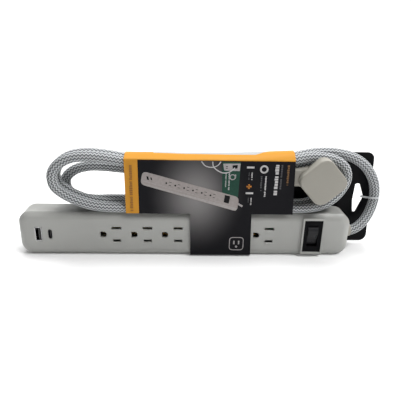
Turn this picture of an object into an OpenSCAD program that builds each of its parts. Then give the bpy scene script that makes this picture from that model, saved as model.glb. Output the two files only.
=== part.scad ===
// Six-outlet power strip with two USB ports, a rocker switch and a braided cord wound in three turns,
// held by a card sleeve and a hang card. The strip stands on its long side.
// X runs along the strip, -Y is the way the outlets face, Z is up. The origin is the middle of the
// side that it stands on. Millimetres.

/* [Housing] */
// Length of the strip
strip_l = 304; // [300:1:308]
// Height of the strip on its side, which is the width of its outlet face
strip_h = 42; // [42:0.5:44]
// Depth of the strip from the outlet face to the back
strip_d = 24; // [24:0.5:25]
// Radius of the outline's corners
corner_r = 11; // [10:0.5:12]
// Width of the rounded shoulder round the outlet face
shoulder_w = 7.5; // [6.5:0.5:8]
// How far the shoulder falls back from the face
shoulder_d = 3.8; // [3.2:0.1:4]
// Thickness of the covers' walls
wall = 2.2; // [2:0.1:2.3]
// Distance of the covers' parting line behind the face
split_d = 6; // [5.8:0.1:6.2]

/* [Outlets] */
// Number of outlets
outlet_n = 6; // [4:1:6]
// Distance from one outlet to the next
outlet_pitch = 28.1; // [27.5:0.1:28.5]
// Position of the first outlet's blade slots along the strip
outlet_x = -64.2; // [-66:0.1:-62]
// Distance between the two blade slots of an outlet
slot_gap = 12.7; // [12.7]
// Distance from the slots to the ground hole
ground_gap = 11.9; // [11.9]
// Length of the neutral slot
neutral_l = 8.4; // [8:0.1:8.8]
// Length of the live slot
hot_l = 7; // [6.8:0.1:7.4]
// Width of both slots
slot_w = 2.3; // [2:0.1:2.4]
// Diameter of the ground hole
ground_d = 5.6; // [5.4:0.1:5.8]
// Width of the bevel round each opening
bevel = 0.6; // [0.4:0.1:0.7]

/* [USB ports] */
// Position of the wide port along the strip
usb_a_x = -134.8; // [-136:0.1:-134]
// Position of the small port along the strip
usb_c_x = -124.3; // [-125:0.1:-123.5]
// Height of the port board above the underside
board_z = 6; // [5.5:0.1:6.5]

/* [Switch] */
// Position of the switch along the strip
switch_x = 116.9; // [116:0.1:118]
// Width of the switch frame
frame_w = 17.1; // [16.5:0.1:17.5]
// Height of the switch frame
frame_h = 32; // [31:0.5:32]
// Width of the rocker
rocker_w = 9.3; // [9:0.1:9.6]
// Half the angle that the rocker swings through
rocker_tilt = 11; // [9:1:11]
// How far the rim round the switch stands out of the face
rim_d = 2; // [1.5:0.1:2.2]

/* [Plug] */
// Side of the square plug
plug_side = 34.5; // [33:0.5:35]
// Thickness of the plug
plug_t = 11; // [10:0.5:11.5]
// Radius of the plug's corners
plug_r = 8.5; // [7:0.5:9]
// Angle between the plug's edges and the cord
plug_angle = 42; // [40:1:46]

/* [Cord] */
// Diameter of the braided cord
cord_d = 9.5; // [9.5]

/* [Card sleeve] */
// Thickness of the card
card_t = 0.5; // [0.4:0.1:0.6]
// Left edge of the sleeve
sleeve_x0 = -54.5; // [-56:0.5:-53]
// Right edge of the sleeve
sleeve_x1 = 94; // [93:0.5:95]
// Left edge of the flap that hangs over the outlet face
flap_x0 = 2.8; // [2:0.1:3.5]
// Right edge of that flap
flap_x1 = 58.4; // [57:0.1:59]
// Height of the sleeve's front edge
sleeve_z = 92.8; // [92:0.1:93.5]
// Right edge of the hang card
card_x1 = 180; // [178:0.5:181]

/* [Hidden] */
$fn = 48;

mid_z = strip_h / 2;
face_y = -12;
back_y = face_y + strip_d;
split_y = face_y + split_d;
inner_back_y = back_y - wall;
inner_front_y = face_y + wall;
front_inset = round(10 * (shoulder_w * (1 - sqrt(wall / shoulder_d)) + wall + 0.2)) / 10;
shoulder_steps = 8;
lip_gap = 0.1;
lip_t = 1.5;
lip_h = 1.5;

outlet_xs = [for (i = [0:outlet_n - 1]) outlet_x + outlet_pitch * i];
neutral_z = mid_z + slot_gap / 2;
hot_z = mid_z - slot_gap / 2;

// Housing screws stand in pairs near the top and bottom walls.
screw_xs = [-100, 6, 98];
screw_zs = [6.6, strip_h - 6.6];
boss_r = 3;
boss_back_y = 3.9;
back_boss_r = 3.9;
counterbore_r = 3;
seat_y = 6.5;

// Two keyholes for hanging the strip on a wall.
keyhole_x = 95.5;
keyhole_r = 4.5;
keyhole_slot_w = 4.2;
keyhole_slot_l = 8;

// Contacts: clips stand forward from base strips near the back wall.
clip_front_y = -6;
blade_clip_gap = 1.4;
ground_clip_gap = 4.8;
clip_t = 0.5;
hot_base_y = 7.5;
ground_base_y = 8.7;
base_t = 0.6;
base_w = 6;

board_x0 = -146;
board_x1 = -104.4;
board_y = 3;
board_t = 1.6;
board_h = strip_h - 2 * board_z;
board_screw_x = -142.5;
board_screw_zs = [board_z + 3.5, strip_h - board_z - 3.5];

// Switch: the rocker turns on pivot_y, the contact lever on lever_y.
rim_wall = 1.4;
pivot_y = -9.5;
pivot_r = 1.2;
lever_y = 1.6;
lever_r = 0.8;
lever_tilt = rocker_tilt / 2;
frame_front_y = -13.2;
frame_back_y = 5;
frame_wall = 1.2;
terminal_w = 4;

// The cord enters through the right end wall.
cord_r = cord_d / 2;
cord_y = 2;
grommet_x = 157;
clamp_x0 = 138;
clamp_x1 = 144;
clamp_h = 18;
clamp_screw_gap = 14.2;

// Plug, in front of the turns, with its neck behind the sleeve's front panel.
plug_x = 119.3;
plug_z = 75.2;
plug_back_y = -8.2;
neck_y = -8;
neck_z = 77.2;
neck_t = 7.4;
neck_h = 16;
neck_x = 84;
boot_x = 64;
pin_shift = 4.2;
pin_offsets = [ground_gap / 2, -ground_gap / 2];

panel_y = -13;
card_y = 17.2;
hook_hole = [[163.8, 61.6], [165.3, 61.6], [163.1, 46], [164.6, 35.4], [169.9, 50]];
hook_hole_r = 1.6;
tie_z = 50;
tie_w = 1.8;
tie_lean = 14;
tie_t = 0.5;

// The cord's route, from inside the strip to the plug's boot. The three turns share these two loops.
left_loop = [[-56, 90], [-72, 92.8], [-87, 94], [-101, 92.2], [-112, 86], [-117.6, 76.8],
    [-116.4, 66.6], [-108.5, 59], [-97, 53], [-84, 48.8], [-69, 47], [-50, 47]];
function left_turn(y, bulge) =
    [for (p = left_loop) [p[0], y - bulge * max(0, min(1, (-56 - p[0]) / 20)), p[1]]];
cord_route = concat(
    [[136, 2, 21], [150, 2, 21], [158.5, 2, 21], [165.8, 3.4, 24.6], [172, 5.5, 31], [176.8, 8, 40],
    [179.2, 9.5, 51], [177.5, 9.5, 64], [171.5, 9.2, 76], [162, 8.5, 86], [149, 7.8, 92.7],
    [131, 7, 96], [113, 6.6, 95.2], [95, 4.4, 92]],
    [[60, 2.6, 88.7], [15, 2.2, 87.5], [-30, 2.2, 87.8]],
    left_turn(2.2, 1.3),
    [[-15, 2.2, 47], [8, 1.2, 47], [28, -3.4, 47], [50, -7, 47], [72, -7.3, 47], [95, -7, 47],
    [109, -6.8, 47.2], [122, -5.8, 49], [133, -4.2, 54.6], [141, -3.1, 63.5], [144.8, -3, 74],
    [142.2, -3, 84], [133, -3, 91.3], [119, -3.3, 94.4], [106, -4.9, 94.6], [94, -7, 93.2]],
    [[60, -7.4, 88.7], [15, -7.5, 87.3], [-30, -7.5, 87.6]],
    left_turn(-7.5, 1.5),
    [[-32, -7.5, 49.5], [-10, -7.2, 56.3], [15, -5, 58], [38, 0, 57], [60, 2.6, 51.5],
    [78, 2.8, 47.6], [97, 2.8, 47], [110, 3.4, 47.6], [121, 5, 51], [130, 6.6, 57.6],
    [135, 6.8, 67], [132.5, 6.8, 77.5], [123.5, 5.8, 83.8], [110, 4, 84.6], [95, 2.4, 81.9]],
    [[65, 2.8, 78.4], [30, 4.6, 77], [-10, 8, 76.3], [-40, 11, 76.6], [-60, 11.7, 77.7],
    [-76, 11, 79.4], [-90, 10.7, 79.4], [-103, 10.6, 75.6], [-111.4, 10.6, 67.6],
    [-111.2, 10.6, 57.6], [-103, 10.6, 50.2], [-90, 10.7, 47], [-70, 11.2, 46.9],
    [-45, 11.9, 47]],
    [[-28, 11.8, 49.3], [-10, 10, 55], [8, 6, 61.6], [24, 1.9, 66.4], [38, -3.4, 70.6],
    [49, -7, 75], [57.5, neck_y, neck_z], [boot_x - 0.1, neck_y, neck_z]]);
cord_sides = 8;
lead_r = 1.2;
lead_sides = 8;

// ---------- helpers ----------

// Extrudes an outline drawn in X and Z from depth y0 to depth y1.
module deep(y0, y1) {
    translate([0, y1, 0]) rotate([90, 0, 0]) linear_extrude(y1 - y0) children();
}

// Extrudes an outline drawn in Y and Z from x0 to x1.
module along_x(x0, x1) {
    translate([x0, 0, 0]) rotate([90, 0, 90]) linear_extrude(x1 - x0) children();
}

// A rod along Y, at [x, z].
module rod_y(at, r, y0, y1) {
    translate([at[0], y0, at[1]]) rotate([-90, 0, 0]) cylinder(r = r, h = y1 - y0);
}

// A rod along X, at [y, z].
module rod_x(at, r, x0, x1) {
    translate([x0, at[0], at[1]]) rotate([0, 90, 0]) cylinder(r = r, h = x1 - x0);
}

// A block given by its low and high corners.
module block(low, high) {
    translate(low) cube(high - low);
}

// A rectangle round [x, z] with round corners, from exact pieces.
module round_rect(at, w, h, r) {
    translate(at) {
        square([w - 2 * r, h], center = true);
        square([w, h - 2 * r], center = true);
        for (sx = [-1, 1], sz = [-1, 1]) {
            translate([sx * (w / 2 - r), sz * (h / 2 - r)]) circle(r);
        }
    }
}

// The strip's outline, shrunk by inset on every side.
module strip_outline(inset) {
    round_rect([0, mid_z], strip_l - 2 * inset, strip_h - 2 * inset, corner_r - inset);
}

// A bevel that widens a w by h opening towards the face.
module bevel_cut(at, w, h) {
    low = 0.1;
    y0 = face_y - low;
    y1 = face_y + bevel + low;
    a = [w / 2 + bevel + low, h / 2 + bevel + low];
    b = [w / 2 - low, h / 2 - low];
    corners = [for (s = [[-1, -1], [1, -1], [1, 1], [-1, 1]]) s];
    points = concat(
        [for (s = corners) [at[0] + s[0] * a[0], y0, at[1] + s[1] * a[1]]],
        [for (s = corners) [at[0] + s[0] * b[0], y1, at[1] + s[1] * b[1]]]);
    polyhedron(points, [[3, 2, 1, 0], [4, 5, 6, 7],
        [0, 1, 5, 4], [1, 2, 6, 5], [2, 3, 7, 6], [3, 0, 4, 7]]);
}

function unit(v) = v / norm(v);
function heading(path, i) =
    unit(path[min(i + 1, len(path) - 1)] - path[max(i - 1, 0)]);
function ring(p, t, r, sides) =
    let (side = unit(cross(t, [0, 1, 0])), up = cross(side, t))
    [for (k = [0:sides - 1]) p + r * (cos(360 * k / sides) * side + sin(360 * k / sides) * up)];

// A tube with flat facets that follows a path which never runs along Y.
module tube(path, r, sides) {
    n = len(path);
    points = [for (i = [0:n - 1]) each ring(path[i], heading(path, i), r, sides)];
    skin = [for (i = [0:n - 2], k = [0:sides - 1])
        [i * sides + k, i * sides + (k + 1) % sides,
        (i + 1) * sides + (k + 1) % sides, (i + 1) * sides + k]];
    first = [for (k = [0:sides - 1]) sides - 1 - k];
    last = [for (k = [0:sides - 1]) (n - 1) * sides + k];
    polyhedron(points, concat([first, last], skin));
}

// ---------- housing ----------

// The whole strip as one soft-shouldered slab.
module strip_slab() {
    back_edge = 1.2;
    profile = concat(
        [[0, 0]],
        [for (i = [0:shoulder_steps]) let (s = i / shoulder_steps)
            [corner_r - shoulder_w * (1 - s), shoulder_d * s * s]],
        [[corner_r, strip_d - back_edge], [corner_r - 0.35 * back_edge, strip_d - 0.35 * back_edge],
        [corner_r - back_edge, strip_d], [0, strip_d]]);
    hull() {
        for (sx = [-1, 1], sz = [-1, 1]) {
            translate([sx * (strip_l / 2 - corner_r), face_y, mid_z + sz * (strip_h / 2 - corner_r)])
                rotate([-90, 0, 0]) rotate_extrude($fn = 48) polygon(profile);
        }
    }
}

// The ground hole's outline: round towards the slots, square on the other side.
module d_outline(at, r) {
    translate(at) {
        circle(r);
        translate([-r, -r]) square([r, 2 * r]);
    }
}

module outlet_cuts(x) {
    through = 0.5;
    for (s = [[neutral_z, neutral_l], [hot_z, hot_l]]) {
        block([x - s[1] / 2, face_y - through, s[0] - slot_w / 2],
            [x + s[1] / 2, inner_front_y + through, s[0] + slot_w / 2]);
        bevel_cut([x, s[0]], s[1], slot_w);
    }
    at = [x - ground_gap, mid_z];
    r = ground_d / 2;
    deep(face_y - through, inner_front_y + through) d_outline(at, r);
    deep(face_y - through, face_y + bevel / 2) d_outline(at, r + bevel / 2);
}

module front_cover() {
    color("gainsboro") difference() {
        union() {
            difference() {
                intersection() {
                    strip_slab();
                    block([-strip_l, face_y - 1, -1], [strip_l, split_y, strip_h + 1]);
                }
                deep(inner_front_y, split_y + 1) strip_outline(front_inset);
            }
            deep(split_y - 1, split_y + lip_h) difference() {
                strip_outline(wall + lip_gap);
                strip_outline(wall + lip_gap + lip_t);
            }
            for (x = screw_xs, z = screw_zs) {
                rod_y([x, z], boss_r, inner_front_y - 0.2, boss_back_y);
            }
            deep(face_y - rim_d, inner_front_y - 0.3)
                round_rect([switch_x, mid_z], frame_w + 2 * rim_wall + 0.3,
                    frame_h + 2 * rim_wall + 1.2, 1);
        }
        for (x = screw_xs, z = screw_zs) rod_y([x, z], 1.45, inner_front_y + 1, boss_back_y + 1);
        for (x = outlet_xs) outlet_cuts(x);
        deep(face_y - 1, inner_front_y + 1) round_rect([usb_a_x, mid_z], 6.1, 13.5, 0.4);
        bevel_cut([usb_a_x, mid_z], 6.1, 13.5);
        deep(face_y - 1, inner_front_y + 1) round_rect([usb_c_x, mid_z], 3.5, 9.3, 1.7);
        deep(face_y - 1, face_y + 0.4) round_rect([usb_c_x, mid_z], 4.6, 10.4, 2.2);
        block([switch_x - frame_w / 2, face_y - rim_d - 1, mid_z - frame_h / 2],
            [switch_x + frame_w / 2, inner_front_y + 1, mid_z + frame_h / 2]);
        rod_x([cord_y, mid_z], 7.6, strip_l / 2 - wall - 3, strip_l / 2 - wall - 0.05);
    }
}

module keyhole_cut(x) {
    rod_y([x, mid_z], keyhole_r, inner_back_y - 1, back_y + 1);
    block([x, inner_back_y - 1, mid_z - keyhole_slot_w / 2],
        [x + keyhole_slot_l, back_y + 1, mid_z + keyhole_slot_w / 2]);
    rod_y([x + keyhole_slot_l, mid_z], keyhole_slot_w / 2, inner_back_y - 1, back_y + 1);
}

module back_cover() {
    color("gainsboro") difference() {
        union() {
            difference() {
                intersection() {
                    strip_slab();
                    block([-strip_l, split_y, -1], [strip_l, back_y + 1, strip_h + 1]);
                }
                deep(split_y - 1, inner_back_y) strip_outline(wall);
            }
            for (x = screw_xs, z = screw_zs) {
                rod_y([x, z], back_boss_r, boss_back_y + 0.1, inner_back_y + 0.5);
            }
            for (z = board_screw_zs) {
                rod_y([board_screw_x, z], 2.5, board_y + board_t, inner_back_y + 0.5);
            }
            block([clamp_x0, cord_y + 0.1, mid_z - clamp_h / 2],
                [clamp_x1, inner_back_y + 0.5, mid_z + clamp_h / 2]);
        }
        for (x = screw_xs, z = screw_zs) {
            rod_y([x, z], 1.8, 0, back_y + 1);
            rod_y([x, z], counterbore_r, seat_y, back_y + 1);
        }
        for (z = board_screw_zs) rod_y([board_screw_x, z], 1.15, 0, inner_back_y - 1);
        for (s = [-1, 1]) {
            rod_y([(clamp_x0 + clamp_x1) / 2, mid_z + s * clamp_screw_gap / 2], 1.35, 0, 9);
            keyhole_cut(s * keyhole_x);
        }
        rod_x([cord_y, mid_z], cord_r + 0.05, clamp_x0 - 1, clamp_x1 + 1);
        rod_x([cord_y, mid_z], 6.4, strip_l / 2 - wall - 1, strip_l / 2 + 1);
        deep(back_y - 0.3, back_y + 1) round_rect([-36, mid_z], 74, 22, 2);
    }
}

module housing_screws() {
    color("silver") for (x = screw_xs, z = screw_zs) {
        difference() {
            union() {
                rod_y([x, z], 1.4, -5, seat_y + 0.1);
                rod_y([x, z], 2.7, seat_y, seat_y + 2);
            }
            block([x - 2, seat_y + 1.2, z - 0.4], [x + 2, seat_y + 3, z + 0.4]);
            block([x - 0.4, seat_y + 1.2, z - 2], [x + 0.4, seat_y + 3, z + 2]);
        }
    }
}

module rating_label() {
    color("white") deep(back_y - 0.3, back_y - 0.05) round_rect([-36, mid_z], 73.6, 21.6, 1.8);
}

// ---------- switch ----------

module about_pivot(y, angle) {
    translate([switch_x, y, mid_z]) rotate([angle, 0, 0]) children();
}

module switch_frame() {
    well_h = 20.8;
    ear_x = rocker_w / 2 + 0.3;
    color([0.08, 0.08, 0.09]) difference() {
        union() {
            difference() {
                block([switch_x - frame_w / 2, frame_front_y, mid_z - frame_h / 2],
                    [switch_x + frame_w / 2, frame_back_y, mid_z + frame_h / 2]);
                block([switch_x - frame_w / 2 + frame_wall, frame_front_y + 2,
                    mid_z - frame_h / 2 + frame_wall],
                    [switch_x + frame_w / 2 - frame_wall, frame_back_y - frame_wall,
                    mid_z + frame_h / 2 - frame_wall]);
            }
            for (s = [-1, 1]) {
                translate([switch_x, 0, 0]) scale([s, 1, 1])
                    block([ear_x, frame_front_y + 1.9, mid_z - 2.6],
                        [frame_w / 2 - frame_wall + 0.1, pivot_y + 2.6, mid_z + 2.6]);
            }
        }
        block([switch_x - ear_x, frame_front_y - 1, mid_z - well_h / 2],
            [switch_x + ear_x, frame_front_y + 2.5, mid_z + well_h / 2]);
        rod_x([pivot_y, mid_z], pivot_r + 0.05,
            switch_x - frame_w / 2 + 0.6, switch_x + frame_w / 2 - 0.6);
        for (z = [0, 7]) {
            block([switch_x - terminal_w / 2 - 0.05, frame_back_y - frame_wall - 1, mid_z + z - 0.45],
                [switch_x + terminal_w / 2 + 0.05, frame_back_y + 1, mid_z + z + 0.45]);
        }
    }
}

module rocker() {
    side = rocker_w / 2;
    crown = [[-2.4, -9.6], [-1.8, -9.8], [2.4, -9.2], [5, -3.2], [5, 3.2], [2.4, 9.2],
        [1, 9.9], [-0.6, 9.8], [-2, 9.3], [-3, 8.4], [-3.6, 7.2], [-3.9, 5.6], [-3.9, 3.6],
        [-3.7, 2.2], [-3.2, 0], [-2.9, -3], [-2.8, -6], [-2.7, -9]];
    color([0.14, 0.14, 0.15]) about_pivot(pivot_y, rocker_tilt) difference() {
        union() {
            along_x(-side, side) polygon(crown);
            rod_x([0, 0], pivot_r, -side - 1.6, side + 1.6);
            rod_y([0, 0], 2.2, 4, 7.5);
        }
        rod_y([0, 0], 1.3, 1.8, 9);
    }
}

module rocker_plunger() {
    tip_r = 1.1;
    color("silver") about_pivot(pivot_y, rocker_tilt) {
        rod_y([0, 0], 1.2, 6, 9.3);
        translate([0, 9.3, 0]) sphere(tip_r);
    }
}

module plunger_spring() {
    coils = 4;
    wire = 0.2;
    color("silver") about_pivot(pivot_y, rocker_tilt) for (i = [0:coils]) {
        translate([0, 2.05 + i * 0.92, 0]) rotate([-90, 0, 0])
            rotate_extrude() translate([1.0, 0]) circle(wire, $fn = 16);
    }
}

module contact_lever() {
    color([0.8, 0.6, 0.3]) about_pivot(lever_y, -lever_tilt) {
        block([-2, -0.4, -6.8], [2, 0.4, 8.4]);
        for (s = [-1, 1]) rod_x([0, 0], lever_r, s * 2.7 - 0.9, s * 2.7 + 0.9);
        rod_y([0, 7], 1.3, 0.3, 0.9);
    }
}

// The middle terminal: two ears carry the lever's axle, and its tab leaves through the frame's back.
module centre_terminal() {
    color([0.8, 0.6, 0.3]) difference() {
        union() {
            for (s = [-1, 1]) {
                translate([switch_x, 0, 0]) scale([s, 1, 1])
                    block([2.4, lever_y - 1.4, mid_z - 1.4], [3.2, 3.7, mid_z + 1.4]);
            }
            block([switch_x - 3.2, 3, mid_z - 1.4], [switch_x + 3.2, 3.7, mid_z + 1.4]);
            block([switch_x - terminal_w / 2, 3.6, mid_z - 0.4],
                [switch_x + terminal_w / 2, 8.6, mid_z + 0.4]);
        }
        rod_x([lever_y, mid_z], lever_r + 0.05, switch_x - 4, switch_x + 4);
    }
}

// The line terminal, with the fixed contact that the lever's upper end rests on.
module line_terminal() {
    color([0.8, 0.6, 0.3]) {
        block([switch_x - terminal_w / 2, 3.55, mid_z + 5.4],
            [switch_x + terminal_w / 2, 3.8, mid_z + 8.6]);
        rod_y([switch_x, mid_z + 7], 1.3, 3.4, 3.6);
        block([switch_x - terminal_w / 2, 3.6, mid_z + 6.6],
            [switch_x + terminal_w / 2, 8.6, mid_z + 7.4]);
    }
}

// ---------- contacts and leads ----------

module clip(x, z, gap, length, base_y) {
    for (s = [-1, 1]) {
        translate([0, 0, z]) scale([1, 1, s])
            block([x - length / 2, clip_front_y, gap / 2], [x + length / 2, base_y, gap / 2 + clip_t]);
    }
}

module busbar(z, offset, gap, length, base_y) {
    first = outlet_xs[0] + offset;
    last = outlet_xs[outlet_n - 1] + offset;
    color([0.8, 0.6, 0.3]) {
        block([first - 5, base_y, z - base_w / 2], [last + 5, base_y + base_t, z + base_w / 2]);
        for (x = outlet_xs) clip(x + offset, z, gap, length, base_y + 0.1);
    }
}

module hot_busbar() {
    busbar(hot_z, 0, blade_clip_gap, 7, hot_base_y);
}

module neutral_busbar() {
    busbar(neutral_z, 0, blade_clip_gap, 7, hot_base_y);
}

module ground_busbar() {
    busbar(mid_z, -ground_gap, ground_clip_gap, 5, ground_base_y);
}

module insulation_sheet() {
    color("ivory") block([-84, 9.4, 11], [88, 9.7, strip_h - 11]);
}

module lead(path) {
    tube(path, lead_r, lead_sides);
}

bar_end = outlet_xs[outlet_n - 1] + 5;

module line_lead() {
    color([0.1, 0.1, 0.1]) lead([[134, 1, 23.5], [130.5, 3.5, 25], [127.5, 6.6, 27],
        [124, 7.2, 28], [switch_x + 2.1, 7.2, 28]]);
}

module neutral_lead() {
    color("white") lead([[134, 4, 23], [131, 6, 27], [127.5, 7.4, 32], [123, 7.6, 33.6],
        [110, 7.6, 33.6], [104.5, 7.6, 30.5], [99, 7.6, 28], [92, 7.7, neutral_z],
        [bar_end + 0.1, 7.7, neutral_z]]);
}

module ground_lead() {
    color("green") lead([[134, 3, 18.5], [130.5, 6, 14], [127, 7.4, 10], [122, 7.6, 8.6],
        [110, 7.6, 8.6], [104, 6, 11.2], [98, 4.5, 13], [91, 3.8, 16.5], [85, 4.4, 20],
        [77, 6, 21], [bar_end - ground_gap + 2, 7.3, 21], [bar_end - ground_gap - 2, 7.4, 21]]);
}

module switched_lead() {
    color([0.1, 0.1, 0.1]) lead([[switch_x - 2.1, 7, 21], [112, 7.1, 20], [107, 7.4, 16],
        [102, 7.6, 14.3], [92, 7.7, hot_z], [bar_end + 0.1, 7.7, hot_z]]);
}

module usb_leads() {
    start = outlet_xs[0] - 5.1;
    color([0.5, 0.1, 0.1]) for (z = [hot_z, neutral_z]) {
        lead([[start, 7.7, z], [-82, 7.5, z], [-92, 6, (z + mid_z) / 2 + (z > mid_z ? 2.2 : -2.2)],
            [-100, 4.2, (z + mid_z) / 2], [board_x1 + 0.1, 3.8, (z + mid_z) / 2]]);
    }
}

module varistor() {
    color([0.1, 0.3, 0.6]) {
        rod_x([-2, 29], 5, 85, 89);
        for (s = [-1, 1]) rod_y([87 + s, 29 + 3 * s], 0.4, 1, 6);
    }
}

module thermal_fuse() {
    color("silver") {
        rod_x([0, 31], 2, -96, -87);
        for (s = [-1, 1]) rod_x([0, 31], 0.5, -91.5 + s * 7 - 2.5, -91.5 + s * 7 + 2.5);
    }
}

// ---------- USB charger ----------

module usb_board() {
    color("darkgreen") difference() {
        block([board_x0, board_y, board_z], [board_x1, board_y + board_t, board_z + board_h]);
        for (z = board_screw_zs) rod_y([board_screw_x, z], 1.4, 0, 9);
    }
}

module board_screws() {
    color("silver") for (z = board_screw_zs) {
        rod_y([board_screw_x, z], 1.1, board_y - 0.1, 8.4);
        rod_y([board_screw_x, z], 2.2, board_y - 1.4, board_y);
    }
}

module usb_a_shell() {
    color("silver") deep(face_y + 0.4, board_y) difference() {
        round_rect([usb_a_x, mid_z], 5.7, 13.1, 0.4);
        round_rect([usb_a_x, mid_z], 5.1, 12.5, 0.2);
    }
}

module usb_a_tongue() {
    color([0.12, 0.12, 0.13]) block([usb_a_x - 0.3, face_y + 1.6, mid_z - 5.5],
        [usb_a_x + 1.5, board_y, mid_z + 5.5]);
}

module usb_c_shell() {
    color("silver") deep(face_y + 0.5, board_y) difference() {
        round_rect([usb_c_x, mid_z], 3.2, 8.9, 1.55);
        round_rect([usb_c_x, mid_z], 2.6, 8.3, 1.25);
    }
}

module usb_c_tongue() {
    color([0.12, 0.12, 0.13]) block([usb_c_x - 0.35, face_y + 1.6, mid_z - 3.35],
        [usb_c_x + 0.35, board_y, mid_z + 3.35]);
}

module usb_transformer() {
    color("khaki") block([-120, -7.5, 23], [-106, board_y, 36]);
    color("black") for (z = [24.5, 34.5]) block([-121, -8.4, z - 1], [-105, board_y, z + 1]);
}

module usb_capacitors() {
    color("black") for (x = [-117.5, -108.9]) rod_y([x, 13], 4, -7.5, board_y);
}

// ---------- cord, clamp and plug ----------

// The moulded bush that grips the end wall, with a short taper outside.
module cord_grommet() {
    end_x = strip_l / 2;
    color([0.75, 0.75, 0.74]) difference() {
        union() {
            rod_x([cord_y, mid_z], 6.3, end_x - wall - 0.5, end_x + 0.5);
            rod_x([cord_y, mid_z], 7.4, end_x - wall - 2, end_x - wall - 0.1);
            translate([end_x + 0.1, cord_y, mid_z]) rotate([0, 90, 0])
                cylinder(r1 = 7, r2 = 5.5, h = grommet_x - end_x - 0.1);
        }
        rod_x([cord_y, mid_z], cord_r + 0.1, end_x - 10, grommet_x + 1);
    }
}

module cord_clamp() {
    color("gray") difference() {
        block([clamp_x0, -5, mid_z - clamp_h / 2], [clamp_x1, cord_y - 0.1, mid_z + clamp_h / 2]);
        rod_x([cord_y, mid_z], cord_r + 0.05, clamp_x0 - 1, clamp_x1 + 1);
        for (s = [-1, 1]) {
            rod_y([(clamp_x0 + clamp_x1) / 2, mid_z + s * clamp_screw_gap / 2], 1.5, -6, 3);
        }
    }
}

module clamp_screws() {
    color("silver") for (s = [-1, 1]) {
        at = [(clamp_x0 + clamp_x1) / 2, mid_z + s * clamp_screw_gap / 2];
        rod_y(at, 1.3, -5.1, 8.5);
        rod_y(at, 2.2, -6.4, -5);
    }
}

module cord() {
    color([0.62, 0.65, 0.67]) tube(cord_route, cord_r, cord_sides);
}

module at_plug() {
    translate([plug_x, 0, plug_z]) rotate([0, -plug_angle, 0]) children();
}

// Pins are placed along the plug's own edges, a little to one side of its middle.
module at_pins() {
    at_plug() translate([-pin_shift, 0, 0]) children();
}

module line_blade() {
    color([0.85, 0.75, 0.45]) at_pins()
        block([-slot_gap / 2 - 0.75, plug_back_y - 4, pin_offsets[1] - 3.2],
            [-slot_gap / 2 + 0.75, plug_back_y + 16, pin_offsets[1] + 3.2]);
}

module neutral_blade() {
    color([0.85, 0.75, 0.45]) at_pins()
        block([slot_gap / 2 - 0.75, plug_back_y - 4, pin_offsets[1] - 3.9],
            [slot_gap / 2 + 0.75, plug_back_y + 16, pin_offsets[1] + 3.9]);
}

module ground_pin() {
    color([0.85, 0.75, 0.45]) at_pins() {
        rod_y([0, pin_offsets[0]], 2.4, plug_back_y - 4, plug_back_y + 17);
        translate([0, plug_back_y + 17, pin_offsets[0]]) sphere(2.4);
    }
}

module plug_body() {
    edge = 2.2;
    steps = 5;
    profile = concat([[0, 0]],
        [for (i = [0:steps]) let (a = 90 * i / steps)
            [plug_r - edge + edge * sin(a), edge * (1 - cos(a))]],
        [[plug_r, plug_t - 1], [plug_r - 1, plug_t], [0, plug_t]]);
    reach = plug_side / 2 - plug_r;
    color([0.82, 0.81, 0.79]) difference() {
        union() {
            at_plug() translate([0, plug_back_y - plug_t, 0]) hull() {
                for (sx = [-1, 1], sz = [-1, 1]) {
                    translate([sx * reach, 0, sz * reach]) rotate([-90, 0, 0])
                        rotate_extrude($fn = 32) polygon(profile);
                }
            }
            along_x(neck_x, plug_x - 14) translate([neck_y, neck_z])
                round_rect([0, 0], neck_t, neck_h, 2.6);
        }
        line_blade();
        neutral_blade();
        ground_pin();
    }
}

module plug_boot() {
    rib_n = 3;
    color([0.82, 0.81, 0.79]) translate([boot_x, neck_y, neck_z]) rotate([0, 90, 0])
        difference() {
            union() {
                cylinder(r1 = cord_r + 0.1, r2 = 3.7, h = 0.01);
                hull() {
                    cylinder(r = cord_r + 0.2, h = 0.5, $fn = 32);
                    translate([0, 0, neck_x - boot_x - 0.5]) linear_extrude(0.5)
                        square([neck_h - 3, neck_t - 0.6], center = true);
                }
            }
            for (i = [1:rib_n]) {
                translate([-neck_h, neck_t / 2 - 0.5, i * 4.5]) cube([2 * neck_h, 3, 1.2]);
                translate([-neck_h, -neck_t / 2 - 2.5, i * 4.5]) cube([2 * neck_h, 3, 1.2]);
            }
        }
}

// ---------- card sleeve ----------

// Outer line of the sleeve in Y and Z, from its lower front edge over the turns to the hang card.
function sleeve_line(rise) = [[panel_y - card_t, 43], [panel_y - card_t, sleeve_z - 0.8 + rise * 0.1],
    [panel_y - card_t + 0.6, sleeve_z + rise * 0.2], [-10, 95 + rise * 0.8], [-4, 96.2 + rise],
    [3, 95.8 + rise], [10, 92.6 + rise * 1.1], [card_y, 86.5 + rise * 1.5],
    [card_y, 76]];

function line_normal(line, i) =
    let (t = unit(line[min(i + 1, len(line) - 1)] - line[max(i - 1, 0)])) [t[1], -t[0]];

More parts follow.
